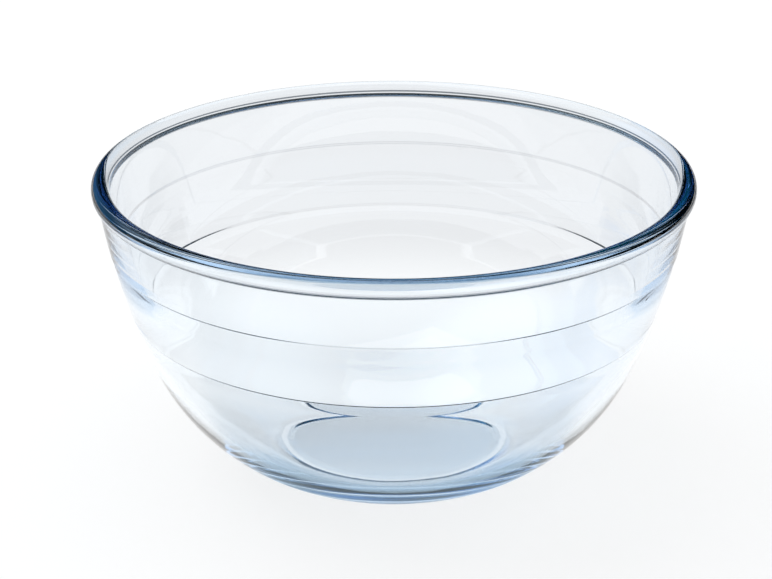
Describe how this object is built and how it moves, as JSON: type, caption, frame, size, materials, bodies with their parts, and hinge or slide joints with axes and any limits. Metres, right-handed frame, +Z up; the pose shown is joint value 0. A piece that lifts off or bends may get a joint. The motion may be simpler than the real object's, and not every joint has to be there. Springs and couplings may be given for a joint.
{
  "type": "mixing bowl",
  "caption": "Round deep mixing bowl of thick clear pressed glass, with a rounded bead at the mouth, two shallow ledges round the outside and a flat foot.",
  "frame": {"origin": "centre of the bowl on the face it rests on", "axes": "+Z up the bowl's axis; the bowl is round, so +X and +Y are any two level directions at right angles"},
  "size_m": [0.22, 0.22, 0.114],
  "materials": {
    "glass": "clear, fire-polished"
  },
  "bodies": {
    "root": {"glass_bowl": "glass"}
  },
  "joints": []
}
